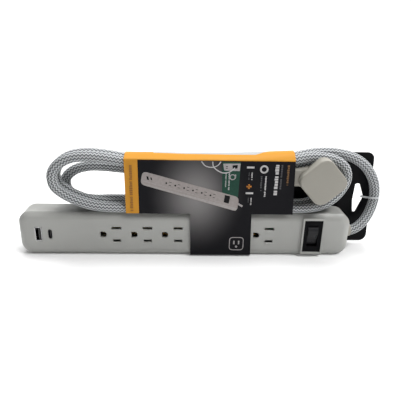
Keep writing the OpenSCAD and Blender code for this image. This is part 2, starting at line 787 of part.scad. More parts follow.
// A folded sheet of even thickness between stations [x, rise].
module folded_sheet(stations) {
    m = len(sleeve_line(0));
    points = [for (s = stations) let (line = sleeve_line(s[1])) each concat(
        [for (p = line) [s[0], p[0], p[1]]],
        [for (i = [0:m - 1]) let (q = line[i] + card_t * line_normal(line, i)) [s[0], q[0], q[1]]])];
    n = len(stations);
    function at(s, i, inner) = s * 2 * m + i + (inner ? m : 0);
    skins = [for (s = [0:n - 2], i = [0:m - 2]) each [
        [at(s, i, false), at(s, i + 1, false), at(s + 1, i + 1, false), at(s + 1, i, false)],
        [at(s, i, true), at(s + 1, i, true), at(s + 1, i + 1, true), at(s, i + 1, true)]]];
    edges = [for (s = [0:n - 2]) each [
        [at(s, 0, false), at(s + 1, 0, false), at(s + 1, 0, true), at(s, 0, true)],
        [at(s, m - 1, false), at(s, m - 1, true), at(s + 1, m - 1, true), at(s + 1, m - 1, false)]]];
    ends = [for (i = [0:m - 2]) each [
        [at(0, i, false), at(0, i, true), at(0, i + 1, true), at(0, i + 1, false)],
        [at(n - 1, i, false), at(n - 1, i + 1, false), at(n - 1, i + 1, true), at(n - 1, i, true)]]];
    polyhedron(points, concat(skins, edges, ends));
}

module sleeve() {
    color([0.1, 0.09, 0.1]) {
        folded_sheet([[sleeve_x0, 0], [40, 0.3], [sleeve_x1, 3.2]]);
        block([flap_x0, panel_y - card_t, 1.6], [flap_x1, panel_y, 44]);
        along_x(flap_x0, flap_x1) polygon([[panel_y - card_t, 2], [panel_y - card_t, 1.4],
            [-12.2, 0.2], [-9.2, 0.05], [-9.2, 0.35], [-12, 0.6], [panel_y, 1.8], [panel_y, 2]]);
    }
}

module back_card() {
    low_z = 2;
    high_z = 94.3;
    r = 7;
    color([0.08, 0.07, 0.08]) deep(card_y, card_y + card_t) difference() {
        union() {
            hull() {
                translate([card_x1 - r + 1.6, low_z + r]) circle(r);
                translate([card_x1 - r - 3.4, high_z - r]) circle(r);
                translate([100, low_z]) square([1, 1]);
                translate([100, high_z - 1]) square([1, 1]);
            }
            polygon([[sleeve_x0, low_z + 6], [sleeve_x0 + 6, low_z], [101, low_z], [101, 90.5],
                [sleeve_x0, 85.5]]);
        }
        hull() for (p = hook_hole) translate(p) circle(hook_hole_r);
    }
}

// A clear strap round the cord and the card's edge, through the hook hole.
module card_tie() {
    cord_at = [178.9, 9.3];
    strap_x = 168.6;
    slack = 0.4;
    color([0.85, 0.87, 0.88, 0.6]) translate([0, card_y, tie_z]) rotate([-tie_lean, 0, 0])
        translate([0, -card_y, -tie_w / 2]) linear_extrude(tie_w) difference() {
            hull() {
                translate(cord_at) circle(cord_r + slack + tie_t, $fn = 32);
                translate([strap_x, card_y - 0.8]) square([1, 1.6 + card_t]);
                translate([184, card_y - 0.8]) square([0.5, 1.6 + card_t]);
            }
            hull() {
                translate(cord_at) circle(cord_r + slack, $fn = 32);
                translate([strap_x + tie_t, card_y - 0.3]) square([1, 0.6 + card_t]);
                translate([183.5, card_y - 0.3]) square([0.5, 0.6 + card_t]);
            }
        }
}

front_cover();
back_cover();
housing_screws();
rating_label();
switch_frame();
rocker();
rocker_plunger();
plunger_spring();
contact_lever();
centre_terminal();
line_terminal();
hot_busbar();
neutral_busbar();
ground_busbar();
insulation_sheet();
usb_board();
usb_a_shell();
usb_a_tongue();
usb_c_shell();
usb_c_tongue();
usb_transformer();
usb_capacitors();
board_screws();
varistor();
thermal_fuse();
line_lead();
neutral_lead();
ground_lead();
switched_lead();
usb_leads();
cord_grommet();
cord_clamp();
clamp_screws();
cord();
plug_body();
plug_boot();
line_blade();
neutral_blade();
ground_pin();
sleeve();
back_card();
card_tie();
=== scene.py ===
"""Visual model of a six-outlet power strip in its card sleeve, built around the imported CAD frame."""
import math
import bmesh
import bpy
import numpy as np
from mathutils import Matrix, Vector, noise


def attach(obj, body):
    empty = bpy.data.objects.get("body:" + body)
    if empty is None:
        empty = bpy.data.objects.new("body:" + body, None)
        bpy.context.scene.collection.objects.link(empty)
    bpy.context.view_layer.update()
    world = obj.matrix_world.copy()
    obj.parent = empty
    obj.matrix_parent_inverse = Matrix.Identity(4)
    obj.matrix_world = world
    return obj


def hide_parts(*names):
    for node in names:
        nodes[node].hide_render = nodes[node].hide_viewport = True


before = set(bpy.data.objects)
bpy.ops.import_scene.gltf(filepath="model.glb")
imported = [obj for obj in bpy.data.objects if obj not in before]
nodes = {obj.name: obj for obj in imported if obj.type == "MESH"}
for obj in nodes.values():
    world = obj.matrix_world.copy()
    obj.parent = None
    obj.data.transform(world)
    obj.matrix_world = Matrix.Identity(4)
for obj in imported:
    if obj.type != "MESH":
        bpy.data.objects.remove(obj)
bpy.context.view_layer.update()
scene = bpy.context.scene
MM = 0.001


# ---------------------------------------------------------------- camera

# Fitted to the outlets' known spacings: place in mm, then pitch down, yaw and roll in degrees.
CAMERA_POS = (0.97, -366.4, 194.6)
CAMERA_TURN = (21.351, 2.576, 1.4875)
SENSOR_W, LENS = 36, 37.23


def make_camera():
    pos = Vector(CAMERA_POS) * MM
    pitch, yaw, roll = (math.radians(a) for a in CAMERA_TURN)
    ahead = Vector((math.sin(yaw) * math.cos(pitch), math.cos(yaw) * math.cos(pitch), -math.sin(pitch)))
    level = Vector((math.cos(yaw), -math.sin(yaw), 0))
    over = level.cross(ahead)
    right = math.cos(roll) * level + math.sin(roll) * over
    up = -math.sin(roll) * level + math.cos(roll) * over
    data = bpy.data.cameras.new("camera")
    data.sensor_width = SENSOR_W
    data.lens = LENS
    data.clip_start = 0.01
    cam = bpy.data.objects.new("camera", data)
    cam.matrix_world = Matrix((
        (right.x, up.x, -ahead.x, pos.x),
        (right.y, up.y, -ahead.y, pos.y),
        (right.z, up.z, -ahead.z, pos.z),
        (0, 0, 0, 1)))
    scene.collection.objects.link(cam)
    scene.camera = cam


make_camera()


# ---------------------------------------------------------------- material helper

class Mat:
    """A node material with one Principled shader, and short calls to wire nodes into it."""

    def __init__(self, name, color=(0.5, 0.5, 0.5), rough=0.5, **sockets):
        self.mat = bpy.data.materials.new(name)
        self.mat.use_nodes = True
        self.tree = self.mat.node_tree
        self.bsdf = next(n for n in self.tree.nodes if n.type == "BSDF_PRINCIPLED")
        self.bsdf.inputs["Base Color"].default_value = (*color, 1)
        self.bsdf.inputs["Roughness"].default_value = rough
        for key, value in sockets.items():
            self.bsdf.inputs[key.replace("_", " ")].default_value = value

    def node(self, kind, inputs=None, **props):
        n = self.tree.nodes.new(kind)
        for key, value in props.items():
            setattr(n, key, value)
        for key, value in (inputs or {}).items():
            self.put(value, n.inputs[key])
        return n

    def put(self, value, socket):
        if isinstance(value, bpy.types.NodeSocket):
            self.tree.links.new(value, socket)
        else:
            socket.default_value = value

    def math(self, op, a, b=0.0, c=0.0, clamp=False):
        n = self.node("ShaderNodeMath", operation=op, use_clamp=clamp)
        for i, v in enumerate((a, b, c)):
            self.put(v, n.inputs[i])
        return n.outputs[0]

    def coords(self, kind="Object", scale=None):
        out = self.node("ShaderNodeTexCoord").outputs[kind]
        if scale is None:
            return out
        return self.node("ShaderNodeMapping", {"Vector": out, "Scale": scale}).outputs[0]

    def noise(self, scale, detail=2.0, rough=0.5, vector=None):
        n = self.node("ShaderNodeTexNoise", {
            "Scale": scale, "Detail": detail, "Roughness": rough,
            "Vector": self.coords() if vector is None else vector})
        return n.outputs[0]

    def ramp(self, value, *stops, ease="LINEAR"):
        n = self.node("ShaderNodeValToRGB", {"Fac": value})
        n.color_ramp.interpolation = ease
        while len(n.color_ramp.elements) < len(stops):
            n.color_ramp.elements.new(0.5)
        for e, (pos, col) in zip(n.color_ramp.elements, stops):
            e.position = pos
            e.color = (*col, 1)
        return n.outputs[0]

    def mix(self, fac, a, b):
        n = self.node("ShaderNodeMix", data_type="RGBA")
        self.put(fac, n.inputs[0])
        self.put(a if isinstance(a, bpy.types.NodeSocket) else (*a, 1), n.inputs[6])
        self.put(b if isinstance(b, bpy.types.NodeSocket) else (*b, 1), n.inputs[7])
        return n.outputs[2]

    def color(self, value):
        self.put(value, self.bsdf.inputs["Base Color"])

    def rough(self, value):
        self.put(value, self.bsdf.inputs["Roughness"])

    def bump(self, height, distance, strength=1.0):
        n = self.node("ShaderNodeBump", {"Height": height, "Distance": distance, "Strength": strength})
        self.put(n.outputs[0], self.bsdf.inputs["Normal"])
        return self


def grey(v):
    return (v, v, v)


# Scales of the noise for the clouds, the uneven gloss and the grain of moulded plastic.
CLOUD, GLOSS, GRAIN = 45, 160, 1800


def plastic(name, color, rough, grain=1.0, spread=0.05, **sockets):
    """Moulded plastic: a fine spark-eroded grain, faint cloudiness and slightly uneven gloss."""
    m = Mat(name, color, rough, **sockets)
    cloud = m.noise(CLOUD, 4, 0.6)
    lo, hi = ([c * (1 + s) for c in color] for s in (-spread, spread))
    m.color(m.ramp(cloud, (0.25, lo), (0.75, hi)))
    m.rough(m.ramp(m.noise(GLOSS, 3), (0.3, grey(rough - 0.06)), (0.7, grey(rough + 0.08))))
    return m.bump(m.noise(GRAIN, 2, 0.6), 0.00006 * grain, 0.5).mat


def metal(name, color, rough, along=(1, 1, 1)):
    """Metal with fine drawn lines along one axis."""
    m = Mat(name, color, rough, Metallic=1.0)
    lines = m.noise(900, 3, 0.6, m.coords(scale=along))
    lo = [c * 0.8 for c in color]
    m.color(m.ramp(lines, (0.3, lo), (0.7, color)))
    m.rough(m.ramp(lines, (0.3, grey(rough - 0.08)), (0.7, grey(rough + 0.12))))
    return m.bump(lines, 0.00003, 0.4).mat


# ---------------------------------------------------------------- mesh helpers

def new_object(name, verts, faces, mats=(), smooth=None, body="strip"):
    me = bpy.data.meshes.new(name)
    me.from_pydata([tuple(v) for v in verts], [], faces)
    me.validate()
    ob = bpy.data.objects.new(name, me)
    scene.collection.objects.link(ob)
    for m in mats:
        me.materials.append(m)
    if smooth is not None:
        shade(ob, smooth)
    if body:
        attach(ob, body)
    return ob


def shade(ob, angle):
    """Smooth shading with sharp edges over the angle."""
    me = ob.data
    if me.has_custom_normals:
        bpy.context.view_layer.objects.active = ob
        ob.select_set(True)
        bpy.ops.mesh.customdata_custom_splitnormals_clear()
        ob.select_set(False)
    me.shade_smooth()
    me.set_sharp_from_angle(angle=math.radians(angle))


def modifier(ob, kind, **props):
    mod = ob.modifiers.new(kind.lower(), kind)
    for k, v in props.items():
        setattr(mod, k, v)


def loft(name, rings, mats, smooth):
    """A closed skin through rings of equal length, capped at both ends."""
    n = len(rings[0])
    verts = [p for r in rings for p in r]
    faces = []
    for i in range(len(rings) - 1):
        for k in range(n):
            a, b = i * n + k, i * n + (k + 1) % n
            faces.append((a, b, b + n, a + n))
    faces.append(tuple(reversed(range(n))))
    faces.append(tuple((len(rings) - 1) * n + k for k in range(n)))
    ob = new_object(name, verts, faces, mats)
    bm = bmesh.new()
    bm.from_mesh(ob.data)
    bmesh.ops.recalc_face_normals(bm, faces=bm.faces)
    bm.to_mesh(ob.data)
    bm.free()
    shade(ob, smooth)
    return ob


# ---------------------------------------------------------------- materials

HOUSING = plastic("housing_plastic", (0.35, 0.352, 0.335), 0.42, 1.0, spread=0.03)
SWITCH = plastic("switch_plastic", (0.004, 0.004, 0.005), 0.5, 1.2, Specular_IOR_Level=0.05)
ROCKER = plastic("rocker_plastic", (0.013, 0.013, 0.015), 0.3, 0.4, Specular_IOR_Level=0.22)
STEEL = metal("steel", (0.62, 0.63, 0.64), 0.35)
CHROME = metal("usb_steel", (0.75, 0.75, 0.76), 0.2, (1, 0.1, 1))
# Painted shade: the USB-C shell is steel, coloured near black for the shade inside the port's recess.
USB_C_PAINTED_SHADE = metal("usb_c_steel_painted_shade", (0.06, 0.06, 0.065), 0.5)
BRASS = metal("brass", (0.78, 0.62, 0.32), 0.3, (1, 0.1, 1))
BLACK = plastic("black_plastic", (0.02, 0.02, 0.02), 0.5)
BOARD = plastic("board_green", (0.02, 0.12, 0.05), 0.3)
TAPE = plastic("transformer_tape", (0.6, 0.45, 0.1), 0.4)
FIBRE = plastic("insulation_fibre", (0.66, 0.62, 0.5), 0.8, 2.0)
VARISTOR = plastic("varistor_blue", (0.03, 0.12, 0.35), 0.25)
LABEL = plastic("label_white", (0.72, 0.72, 0.7), 0.6, 0.5)
PLUG = plastic("plug_plastic", (0.305, 0.292, 0.255), 0.5, 1.4, spread=0.02)
CLAMP = plastic("clamp_plastic", (0.12, 0.12, 0.12), 0.55)
LEADS = {
    "line_lead": plastic("lead_black", (0.02, 0.02, 0.02), 0.5),
    "neutral_lead": plastic("lead_white", (0.7, 0.7, 0.68), 0.5),
    "ground_lead": plastic("lead_green", (0.02, 0.2, 0.06), 0.5),
    "usb_leads": plastic("lead_red", (0.3, 0.03, 0.03), 0.5),
}
LEADS["switched_lead"] = LEADS["line_lead"]


# ---------------------------------------------------------------- cord

CORD_D = 9.5
# The plug's neck is flat down to NECK_X and ribbed from there to BOOT_X, where the cord starts.
NECK_X, NECK_Y, NECK_Z, NECK_T, NECK_H = 84.0, -8.0, 77.2, 7.4, 16.0
BOOT_X = 64.0
# The turn at the left, in X and Z. It starts at the sleeve's mouth and bulges forward over BULGE_RUN.
MOUTH_X, BULGE_RUN = -56, 20
LEFT_LOOP = [
    (-56, 90), (-72, 92.8), (-87, 94), (-101, 92.2), (-112, 86), (-117.6, 76.8),
    (-116.4, 66.6), (-108.5, 59), (-97, 53), (-84, 48.8), (-69, 47), (-50, 47)]


def left_turn(y, bulge):
    return [(x, y - bulge * max(0, min(1, (MOUTH_X - x) / BULGE_RUN)), z) for x, z in LEFT_LOOP]


# The cord's route in mm, from inside the strip's right end round its three turns to the plug's neck.
ROUTE = (
    [(136, 2, 21), (150, 2, 21), (158.5, 2, 21), (165.8, 3.4, 24.6), (172, 5.5, 31), (176.8, 8, 40),
     (179.2, 9.5, 51), (177.5, 9.5, 64), (171.5, 9.2, 76), (162, 8.5, 86), (149, 7.8, 92.7),
     (131, 7, 96), (113, 6.6, 95.2), (95, 4.4, 92)]
    + [(60, 2.6, 88.7), (15, 2.2, 87.5), (-30, 2.2, 87.8)]
    + left_turn(2.2, 1.3)
    + [(-15, 2.2, 47), (8, 1.2, 47), (28, -3.4, 47), (50, -7, 47), (72, -7.3, 47), (95, -7, 47),
       (109, -6.8, 47.2), (122, -5.8, 49), (133, -4.2, 54.6), (141, -3.1, 63.5), (144.8, -3, 74),
       (142.2, -3, 84), (133, -3, 91.3), (119, -3.3, 94.4), (106, -4.9, 94.6), (94, -7, 93.2)]
    + [(60, -7.4, 88.7), (15, -7.5, 87.3), (-30, -7.5, 87.6)]
    + left_turn(-7.5, 1.5)
    + [(-32, -7.5, 49.5), (-10, -7.2, 56.3), (15, -5, 58), (38, 0, 57), (60, 2.6, 51.5),
       (78, 2.8, 47.6), (97, 2.8, 47), (110, 3.4, 47.6), (121, 5, 51), (130, 6.6, 57.6),
       (135, 6.8, 67), (132.5, 6.8, 77.5), (123.5, 5.8, 83.8), (110, 4, 84.6), (95, 2.4, 81.9)]
    + [(65, 2.8, 78.4), (30, 4.6, 77), (-10, 8, 76.3), (-40, 11, 76.6), (-60, 11.7, 77.7),
       (-76, 11, 79.4), (-90, 10.7, 79.4), (-103, 10.6, 75.6), (-111.4, 10.6, 67.6),
       (-111.2, 10.6, 57.6), (-103, 10.6, 50.2), (-90, 10.7, 47), (-70, 11.2, 46.9),
       (-45, 11.9, 47)]
    + [(-28, 11.8, 49.3), (-10, 10, 55), (8, 6, 61.6), (24, 1.9, 66.4), (38, -3.4, 70.6),
       (49, -7, 75), (57.5, NECK_Y, NECK_Z), (BOOT_X - 0.1, NECK_Y, NECK_Z)])


def smooth_path(points, step):
    """Catmull-Rom through the points, then resampled to even steps."""
    p = np.array(points, float)
    p = np.vstack([2 * p[0] - p[1], p, 2 * p[-1] - p[-2]])
    fine = []
    for i in range(1, len(p) - 2):
        t0, t1 = 0, np.linalg.norm(p[i] - p[i - 1]) ** 0.5
        t2 = t1 + np.linalg.norm(p[i + 1] - p[i]) ** 0.5
        t3 = t2 + np.linalg.norm(p[i + 2] - p[i + 1]) ** 0.5
        for t in np.linspace(t1, t2, 24, endpoint=False):
            a1 = (t1 - t) / (t1 - t0) * p[i - 1] + (t - t0) / (t1 - t0) * p[i]
            a2 = (t2 - t) / (t2 - t1) * p[i] + (t - t1) / (t2 - t1) * p[i + 1]
            a3 = (t3 - t) / (t3 - t2) * p[i + 1] + (t - t2) / (t3 - t2) * p[i + 2]
            b1 = (t2 - t) / (t2 - t0) * a1 + (t - t0) / (t2 - t0) * a2
            b2 = (t3 - t) / (t3 - t1) * a2 + (t - t1) / (t3 - t1) * a3
            fine.append((t2 - t) / (t2 - t1) * b1 + (t - t1) / (t2 - t1) * b2)
    fine.append(p[-2])
    fine = np.array(fine)
    at = np.concatenate([[0], np.cumsum(np.linalg.norm(np.diff(fine, axis=0), axis=1))])
    count = int(round(at[-1] / step)) + 1
    even = np.linspace(0, at[-1], count)
    return np.stack([np.interp(even, at, fine[:, k]) for k in range(3)], 1), at[-1]


def frames(path):
    """Side and up at each point of a path, carried along with no twist."""
    tan = np.gradient(path, axis=0)
    tan /= np.linalg.norm(tan, axis=1)[:, None]
    side = np.cross(tan[0], (0, 1, 0))
    side /= np.linalg.norm(side)
    sides = [side]
    for t in tan[1:]:
        s = sides[-1] - t * (sides[-1] @ t)
        sides.append(s / np.linalg.norm(s))
    sides = np.array(sides)
    return sides, np.cross(sides, tan)


# The braid: yarns round the cord, light and dark in turn; the length of a step of its zigzag in mm, with
# four steps to a period; how far it swings to each side, in yarns; and how deep its ribs are, in mm.
BRAID_N = 20
BRAID_STEP = 0.82
BRAID_SWING = 0.6
BRAID_DEPTH = 0.25
# The cord's mesh: rings this far apart in mm, with this many sides.
CORD_STEP, CORD_SIDES = 0.74, 60


def braid_height(a, b):
    """Height from 0 to 1 of the braid's zigzag ribs at a (yarns round) and b (steps along)."""
    across = a + BRAID_SWING * (1 - np.abs(np.mod(b, 4) - 2))
    return 0.5 - 0.5 * np.cos(np.pi * (across - 0.5)) * (0.8 + 0.2 * np.cos(np.pi * b))


def braid_tube(name, path, r, sides, depth):
    """A closed tube with the braid's relief, and UVs that run round it and along it in metres."""
    side, up = frames(path)
    n = len(path)
    ang = np.arange(sides) * 2 * np.pi / sides
    along = np.arange(n) * np.linalg.norm(path[1] - path[0])
    a, b = np.meshgrid(ang / (2 * np.pi) * BRAID_N, along / BRAID_STEP)
    rad = r - depth * (1 - braid_height(a, b))
    co = (path[:, None] + rad[..., None] * (
        np.cos(ang)[None, :, None] * side[:, None] + np.sin(ang)[None, :, None] * up[:, None])) * MM
    faces = [(i * sides + k, i * sides + (k + 1) % sides,
              (i + 1) * sides + (k + 1) % sides, (i + 1) * sides + k)
             for i in range(n - 1) for k in range(sides)]
    faces += [tuple(reversed(range(sides))), tuple((n - 1) * sides + k for k in range(sides))]
    ob = new_object(name, co.reshape(-1, 3), faces)
    uv = ob.data.uv_layers.new(name="UVMap").data
    u0, v0 = np.meshgrid(np.arange(sides) / sides, along[:-1] * MM)
    u1, v1 = u0 + 1 / sides, v0 + (along[1] - along[0]) * MM
    flat = np.stack([u0, v0, u1, v0, u1, v1, u0, v1], -1).ravel()
    uv.foreach_set("uv", np.concatenate([flat, np.zeros(len(uv) * 2 - len(flat))]))
    ob.data.shade_smooth()
    return ob


def braid_material():
    """Braid of light and dark yarns that show as zigzag lines along the cord; painted shade darkens the
    grooves between yarns.
    """
    m = Mat("cord_braid", rough=0.8, Sheen_Weight=0.08, Sheen_Roughness=0.5, Specular_IOR_Level=0.25)
    uv = m.node("ShaderNodeSeparateXYZ", {0: m.coords("UV")})
    a = m.math("MULTIPLY", uv.outputs[0], BRAID_N)
    b = m.math("MULTIPLY", uv.outputs[1], 1 / (BRAID_STEP * MM))
    turn = m.math("SUBTRACT", m.math("FLOORED_MODULO", b, 4.0), 2.0)
    over = m.math("LESS_THAN", turn, 0.0)
    swing = m.math("MULTIPLY", m.math("SUBTRACT", 1.0, m.math("ABSOLUTE", turn)), BRAID_SWING)
    across = m.math("ADD", a, swing)
    f = m.math("FRACT", across)
    crown = m.math("SQRT", m.math("MULTIPLY", m.math("MULTIPLY", f, m.math("SUBTRACT", 1.0, f)), 4.0))
    pale = m.math("GREATER_THAN", m.math("FLOORED_MODULO", across, 2.0), 1.0)
    fibre = m.node("ShaderNodeCombineXYZ", {
        0: m.math("MULTIPLY", across, 6.0), 1: m.math("MULTIPLY", b, 0.6), 2: over}).outputs[0]
    strands = m.noise(1.0, 2, 0.5, fibre)
    yarn = m.mix(pale, (0.10, 0.105, 0.11), (0.54, 0.56, 0.57))
    worn = m.noise(26, 3, 0.6)
    yarn = m.mix(m.ramp(worn, (0.35, grey(0.0)), (0.75, grey(0.15))), yarn, (0.33, 0.34, 0.35))
    # Painted shade: each yarn's colour darkens towards its edges, in the grooves between yarns. The fibre
    # noise then varies the tone at random.
    for fac, painted_groove_shade_and_fibre_tone in ((1.0, m.ramp(crown, (0.0, grey(0.35)), (0.6, grey(1.0)))),
                          (0.5, m.ramp(strands, (0.3, grey(0.7)), (0.7, grey(1.15))))):
        n = m.node("ShaderNodeMix", data_type="RGBA", blend_type="MULTIPLY")
        n.inputs[0].default_value = fac
        m.put(yarn, n.inputs[6])
        m.put(painted_groove_shade_and_fibre_tone, n.inputs[7])
        yarn = n.outputs[2]
    m.color(yarn)
    total = m.math("ADD", crown, m.math("MULTIPLY", strands, 0.3))
    return m.bump(total, 0.0002, 0.8).mat


BRAID = braid_material()
cord_path, cord_length = smooth_path(ROUTE, CORD_STEP)
cord = braid_tube("braided_cord", cord_path, CORD_D / 2, CORD_SIDES, BRAID_DEPTH)
cord.data.materials.append(BRAID)
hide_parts("cord")


# ---------------------------------------------------------------- plug

# Its middle and its turn in degrees, its side, thickness and corner radius, the plane that its pins
# leave, and the radius of its front edge.
PLUG_X, PLUG_Z, PLUG_ANGLE = 119.3, 75.2, 42.0
PLUG_SIDE, PLUG_T, PLUG_R = 34.5, 11.0, 8.5
PLUG_BACK = -8.2
PLUG_EDGE = 1.3


def rounded(w, h, r, per):
    """Outline of a rounded rectangle, counter-clockwise, with per steps to a corner."""
    pts = []
    for cx, cy, start in ((1, 1, 0), (-1, 1, 90), (-1, -1, 180), (1, -1, 270)):
        for i in range(per + 1):
            a = math.radians(start + 90 * i / per)
            pts.append((cx * (w / 2 - r) + r * math.cos(a), cy * (h / 2 - r) + r * math.sin(a)))
    return pts


def plug_piece():
    """The flat plug with its pillowed face, softened edge and moulding line."""
    ca, sa = math.cos(math.radians(PLUG_ANGLE)), math.sin(math.radians(PLUG_ANGLE))
    y_face, y_line = PLUG_BACK - PLUG_T, PLUG_BACK - 3.2
    # Depth and inset of each ring, from the pins' side over the moulding line to the face.
    stations = [(PLUG_BACK, 0.6), (PLUG_BACK - 0.25, 0.15), (PLUG_BACK - 0.6, 0.0),
                (y_line + 0.25, 0.0), (y_line + 0.15, 0.18), (y_line - 0.15, 0.18), (y_line - 0.25, 0.0)]
    stations += [(y_face + PLUG_EDGE * (1 - math.sin(a)), PLUG_EDGE * (1 - math.cos(a)))
                 for a in np.radians(np.linspace(0, 90, 9))]
    stations += [(y_face - 0.12, 5.0), (y_face - 0.22, 9.0), (y_face - 0.28, 13.5)]
    rings = []
    for y, inset in stations:
        side = PLUG_SIDE - 2 * inset
        ring = rounded(side, side, max(PLUG_R - inset * 0.8, 1.5), 12)
        rings.append([Vector((PLUG_X + ca * u - sa * v, y, PLUG_Z + sa * u + ca * v)) * MM for u, v in ring])
    return loft("plug_shell", rings, (PLUG,), 35)


def neck_piece():
    """Flat neck that swells into the plug and tapers through ribs to the cord."""
    rings = []
    rib_n = 4
    x_end = PLUG_X - 12
    span = NECK_X - BOOT_X - 2

    def add(x, w, t, r):
        rings.append([Vector((x, NECK_Y + a, NECK_Z + b)) * MM for a, b in rounded(t, w, r, 8)])

    for x, w, t in ((x_end, NECK_H + 4, NECK_T + 0.4), (x_end - 4, NECK_H + 2.2, NECK_T + 0.3),
                    (x_end - 8, NECK_H + 0.8, NECK_T), (NECK_X, NECK_H, NECK_T)):
        add(x, w, t, 2.8)
    for i in range(rib_n):
        for f, groove in ((0.0, 0), (0.55, 0), (0.62, 1.1), (0.95, 1.1)):
            k = (i + f) / rib_n
            x = NECK_X - 1.0 - span * k
            w = NECK_H + (CORD_D + 1.2 - NECK_H) * k
            t = NECK_T + (CORD_D + 0.8 - NECK_T) * k
            add(x, w - groove, t - groove * 0.8, min(w, t) * 0.42)
    for x, d in ((BOOT_X + 0.6, CORD_D + 1.0), (BOOT_X, CORD_D + 0.4)):
        add(x, d, d, d * 0.499)
    return loft("plug_neck", rings, (PLUG,), 35)


plug_shell = plug_piece()
plug_neck = neck_piece()
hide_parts("plug_body")
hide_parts("plug_boot")


# ---------------------------------------------------------------- card sleeve

# The card's thickness, the sleeve's and the flap's ends, the plane and edges of the front panel, and
# where its orange band ends.
CARD_T = 0.45
SLEEVE_X, FLAP_X = (-54.5, 94.0), (2.8, 58.4)
PANEL_Y, PANEL_Z = -13.5, (43.0, 93.2)
BAND_X = -42.8
# The hang card's front and its thickness.
CARD_Y, HANG_T = 17.2, 0.5
# The top climbs by RISE from RISE_X to the right end. Features lean by LEAN, at the right end, over
# LEAN_DROP below LEAN_TOP. The card waves by WAVE.
RISE, RISE_X = 3.2, -10
LEAN, LEAN_TOP, LEAN_DROP = 2.0, 92.8, 50
WAVE = 0.35


def rise(x):
    """How much the top of the sleeve climbs towards its right end."""
    t = max(0.0, (x - RISE_X) / (SLEEVE_X[1] - RISE_X))
    return RISE * t * t


def lean(x, z):
    """The card's features lean a little to the right, lower down."""
    return x + LEAN * (x - SLEEVE_X[0]) / (SLEEVE_X[1] - SLEEVE_X[0]) * (LEAN_TOP - z) / LEAN_DROP


def sleeve_profile(x):
    """Outer line of the sleeve in Y and Z, from the panel's lower edge to its glued rear edge."""
    r = rise(x)
    pts = [(PANEL_Y, z) for z in np.linspace(PANEL_Z[0], PANEL_Z[1] - 0.8, 14)]
    pts += [(PANEL_Y + 0.06, PANEL_Z[1] - 0.25 + 0.1 * r), (PANEL_Y + 0.3, PANEL_Z[1] + 0.2 + 0.1 * r),
            (PANEL_Y + 0.8, PANEL_Z[1] + 0.55 + 0.15 * r)]
    pts += [(-10.5, 94.3 + 0.7 * r), (-7, 95.6 + r), (-3, 96.2 + r), (1, 96.1 + r), (5, 95 + r),
            (9, 93 + 1.05 * r), (13, 90.2 + 1.25 * r), (16, 87.8 + 1.4 * r), (16.9, 86.9 + 1.45 * r),
            (CARD_Y - 0.05, 86.2 + 1.45 * r)]
    pts += [(CARD_Y, z) for z in np.linspace(85.2 + 1.4 * r, 76, 4)]
    return pts


def sheet_piece(name, grid, thick, mats):
    """A sheet from a grid of outer points: column, then row. Inner side is offset along the normals.
    mats are outer, inner and edge."""
    rows, cols = len(grid[0]), len(grid)
    outer = np.array(grid, float)
    du = np.gradient(outer, axis=0)
    dv = np.gradient(outer, axis=1)
    nrm = np.cross(du, dv)
    nrm /= np.linalg.norm(nrm, axis=2)[..., None]
    inner = outer - nrm * thick
    verts = np.concatenate([outer.reshape(-1, 3), inner.reshape(-1, 3)]) * MM
    half = rows * cols

    def at(c, r, side=0):
        return side * half + c * rows + r

    faces, kinds = [], []
    for c in range(cols - 1):
        for r in range(rows - 1):
            faces.append((at(c, r), at(c + 1, r), at(c + 1, r + 1), at(c, r + 1)))
            faces.append((at(c, r, 1), at(c, r + 1, 1), at(c + 1, r + 1, 1), at(c + 1, r, 1)))
            kinds += [0, 1]
    for c in range(cols - 1):
        faces.append((at(c, 0), at(c, 0, 1), at(c + 1, 0, 1), at(c + 1, 0)))
        faces.append((at(c, rows - 1), at(c + 1, rows - 1), at(c + 1, rows - 1, 1), at(c, rows - 1, 1)))
        kinds += [2, 2]
    for r in range(rows - 1):
        faces.append((at(0, r), at(0, r + 1), at(0, r + 1, 1), at(0, r, 1)))
        faces.append((at(cols - 1, r), at(cols - 1, r, 1), at(cols - 1, r + 1, 1), at(cols - 1, r + 1)))
        kinds += [2, 2]
    ob = new_object(name, verts, faces, mats)
    ob.data.polygons.foreach_set("material_index", kinds)
    shade(ob, 40)
    return ob


def card_gloss(m, rough=0.32):
    """Coated card: faint mottle in its gloss and the soft waviness of pressed board."""
    m.rough(m.ramp(m.noise(220, 3), (0.3, grey(rough - 0.05)), (0.7, grey(rough + 0.1))))
    height = m.math("ADD", m.noise(60, 2), m.math("MULTIPLY", m.noise(1400, 2), 0.15))
    return m.bump(height, 0.00012, 0.5).mat


# The print: the middle and reach of its grey glow in X and Z, the ends of the top's white field, and
# its colours.
GLOW_AT, GLOW_REACH = (8.0, 60.0), (44.0, 56.0)
FIELD_X = (-30.0, 80.0)
ORANGE, FIELD_WHITE, REAR_BLACK = (0.55, 0.255, 0.035), (0.40, 0.41, 0.415), (0.007, 0.007, 0.008)


